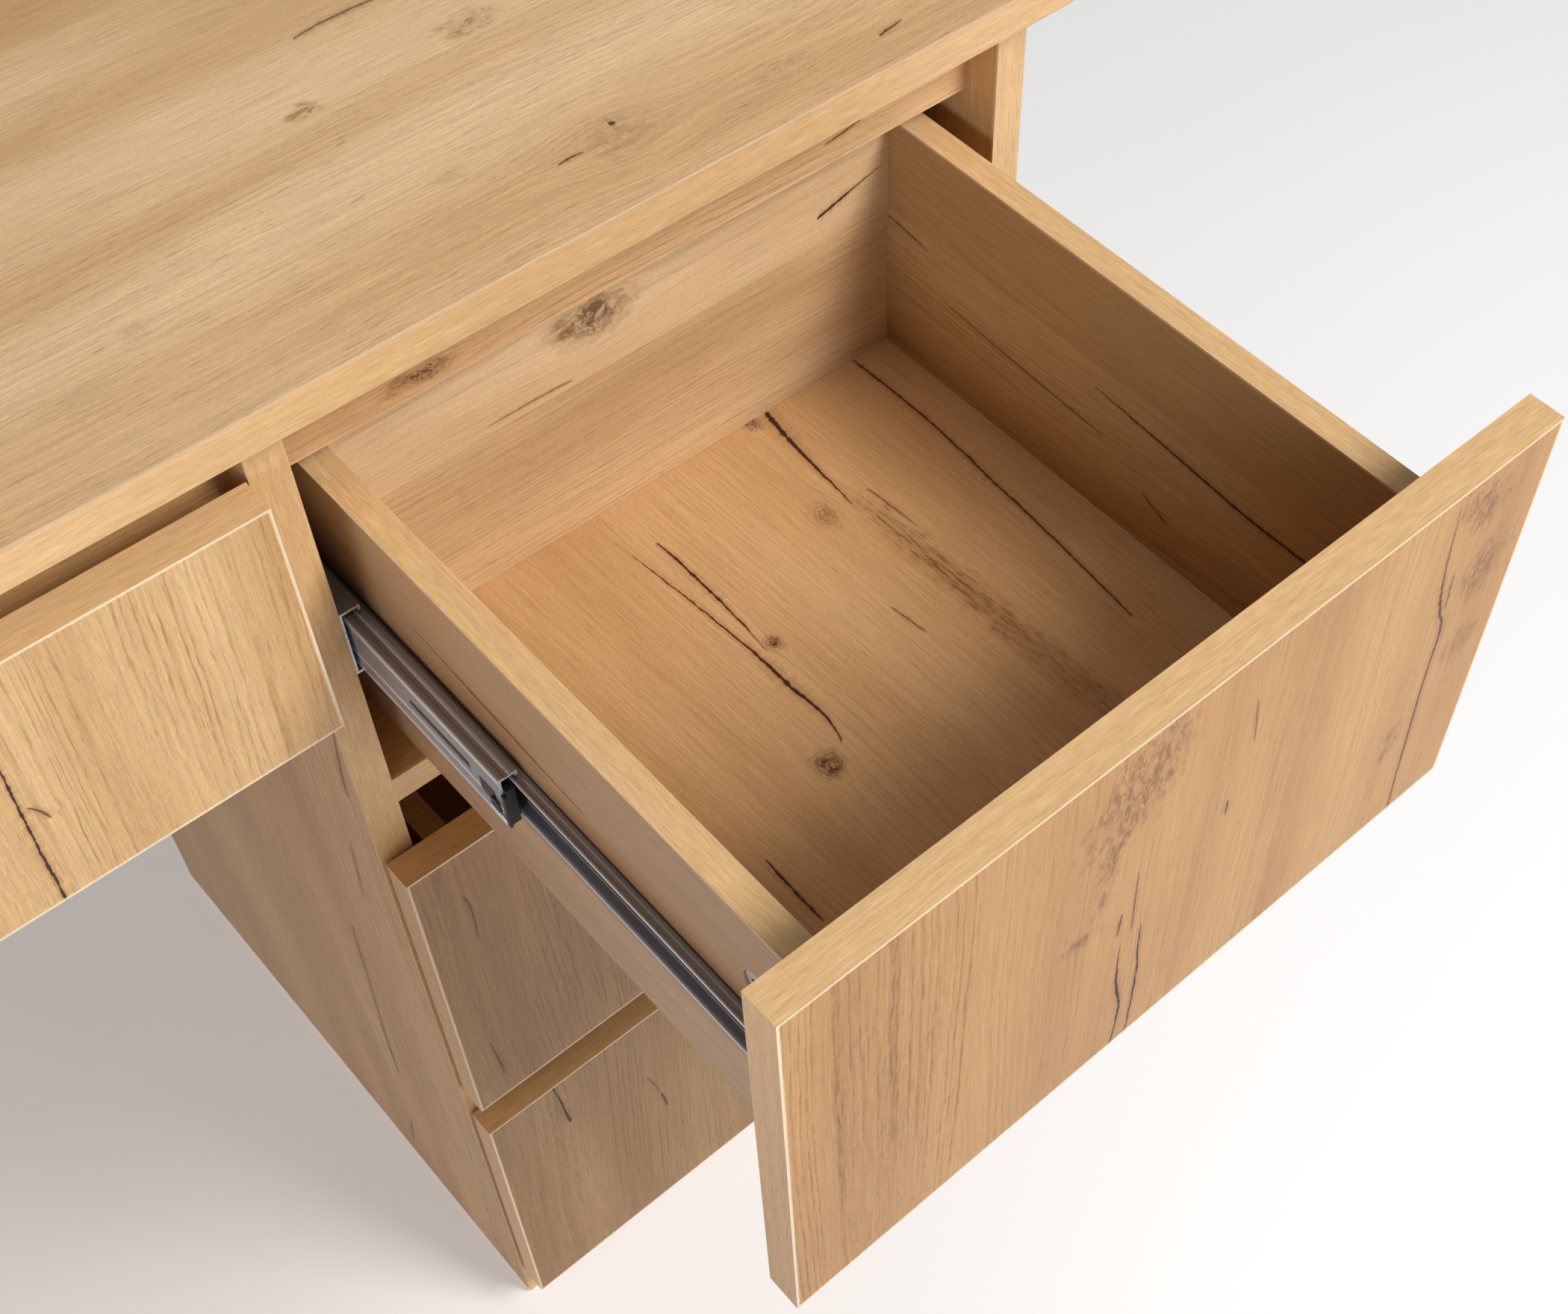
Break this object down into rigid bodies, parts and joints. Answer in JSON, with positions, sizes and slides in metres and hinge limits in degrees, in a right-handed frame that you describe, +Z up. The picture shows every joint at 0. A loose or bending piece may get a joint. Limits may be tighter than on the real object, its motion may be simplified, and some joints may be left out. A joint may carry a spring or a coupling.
{
  "type": "corner desk",
  "caption": "L-shaped corner desk with a drawer pedestal and a shallow knee drawer, all on ball-bearing slides, in oak-look laminated board.",
  "frame": {"origin": "middle of the desk's footprint, on the floor", "axes": "+X along the main wing towards the drawer pedestal, +Y towards the back of the main wing, +Z up; the return wing comes forward along -Y at the -X end"},
  "size_m": [1.5, 1.15, 0.763],
  "materials": {
    "oak_laminate": "satin",
    "oak_sheet": "satin",
    "slide_steel": "satin",
    "fitting_zinc": "satin",
    "latch_plastic": "matte",
    "glide_plastic": "matte",
    "beech_dowel": "matte"
  },
  "bodies": {
    "frame": {"desktop_main": "oak_laminate", "desktop_return": "oak_laminate", "pedestal_partition": "oak_laminate", "right_side_panel": "oak_laminate", "corner_partition": "oak_laminate", "left_end_panel": "oak_laminate", "return_end_panel": "oak_laminate", "knee_back_apron": "oak_laminate", "corner_back_apron": "oak_laminate", "return_side_apron": "oak_laminate", "return_rail": "oak_laminate", "pedestal_top_rail": "oak_laminate", "knee_top_rail": "oak_laminate", "mid_stretcher": "oak_laminate", "pedestal_floor": "oak_laminate", "pedestal_back": "oak_sheet", "frame_cam_locks": "fitting_zinc", "frame_dowels": "beech_dowel", "foot_glides": "glide_plastic", "joining_plates": "slide_steel", "joining_plate_screws": "fitting_zinc", "outer_slide_members": "slide_steel", "outer_slide_screws": "fitting_zinc"},
    "top_drawer": {"top_drawer_front": "oak_laminate", "top_drawer_left_side": "oak_laminate", "top_drawer_right_side": "oak_laminate", "top_drawer_back": "oak_laminate", "top_drawer_bottom": "oak_sheet", "top_drawer_fixings": "fitting_zinc", "top_drawer_inner_members": "slide_steel"},
    "top_drawer_middle_slides": {"top_drawer_middle_members": "slide_steel", "top_drawer_slide_latches": "latch_plastic"},
    "middle_drawer": {"middle_drawer_front": "oak_laminate", "middle_drawer_left_side": "oak_laminate", "middle_drawer_right_side": "oak_laminate", "middle_drawer_back": "oak_laminate", "middle_drawer_bottom": "oak_sheet", "middle_drawer_fixings": "fitting_zinc", "middle_drawer_inner_members": "slide_steel"},
    "middle_drawer_middle_slides": {"middle_drawer_middle_members": "slide_steel", "middle_drawer_slide_latches": "latch_plastic"},
    "bottom_drawer": {"bottom_drawer_front": "oak_laminate", "bottom_drawer_left_side": "oak_laminate", "bottom_drawer_right_side": "oak_laminate", "bottom_drawer_back": "oak_laminate", "bottom_drawer_bottom": "oak_sheet", "bottom_drawer_fixings": "fitting_zinc", "bottom_drawer_inner_members": "slide_steel"},
    "bottom_drawer_middle_slides": {"bottom_drawer_middle_members": "slide_steel", "bottom_drawer_slide_latches": "latch_plastic"},
    "knee_drawer": {"knee_drawer_front": "oak_laminate", "knee_drawer_left_side": "oak_laminate", "knee_drawer_right_side": "oak_laminate", "knee_drawer_back": "oak_laminate", "knee_drawer_bottom": "oak_sheet", "knee_drawer_fixings": "fitting_zinc", "knee_drawer_inner_members": "slide_steel"},
    "knee_drawer_middle_slides": {"knee_drawer_middle_members": "slide_steel", "knee_drawer_slide_latches": "latch_plastic"}
  },
  "joints": [
    {"name": "top_drawer_travel", "type": "slide", "parent": "frame", "child": "top_drawer", "axis": [0, -1, 0], "range_m": [-0.25, 0.05]},
    {"name": "top_drawer_middle_slides_travel", "type": "slide", "parent": "frame", "child": "top_drawer_middle_slides", "axis": [0, -1, 0], "range_m": [-0.125, 0.025]},
    {"name": "middle_drawer_travel", "type": "slide", "parent": "frame", "child": "middle_drawer", "axis": [0, -1, 0], "range_m": [0, 0.3]},
    {"name": "middle_drawer_middle_slides_travel", "type": "slide", "parent": "frame", "child": "middle_drawer_middle_slides", "axis": [0, -1, 0], "range_m": [0, 0.15]},
    {"name": "bottom_drawer_travel", "type": "slide", "parent": "frame", "child": "bottom_drawer", "axis": [0, -1, 0], "range_m": [0, 0.3]},
    {"name": "bottom_drawer_middle_slides_travel", "type": "slide", "parent": "frame", "child": "bottom_drawer_middle_slides", "axis": [0, -1, 0], "range_m": [0, 0.15]},
    {"name": "knee_drawer_travel", "type": "slide", "parent": "frame", "child": "knee_drawer", "axis": [0, -1, 0], "range_m": [0, 0.3]},
    {"name": "knee_drawer_middle_slides_travel", "type": "slide", "parent": "frame", "child": "knee_drawer_middle_slides", "axis": [0, -1, 0], "range_m": [0, 0.15]}
  ],
  "couplings": [
    {"joint": "top_drawer_middle_slides_travel", "follows": "top_drawer_travel", "ratio": 0.5},
    {"joint": "middle_drawer_middle_slides_travel", "follows": "middle_drawer_travel", "ratio": 0.5},
    {"joint": "bottom_drawer_middle_slides_travel", "follows": "bottom_drawer_travel", "ratio": 0.5},
    {"joint": "knee_drawer_middle_slides_travel", "follows": "knee_drawer_travel", "ratio": 0.5}
  ]
}
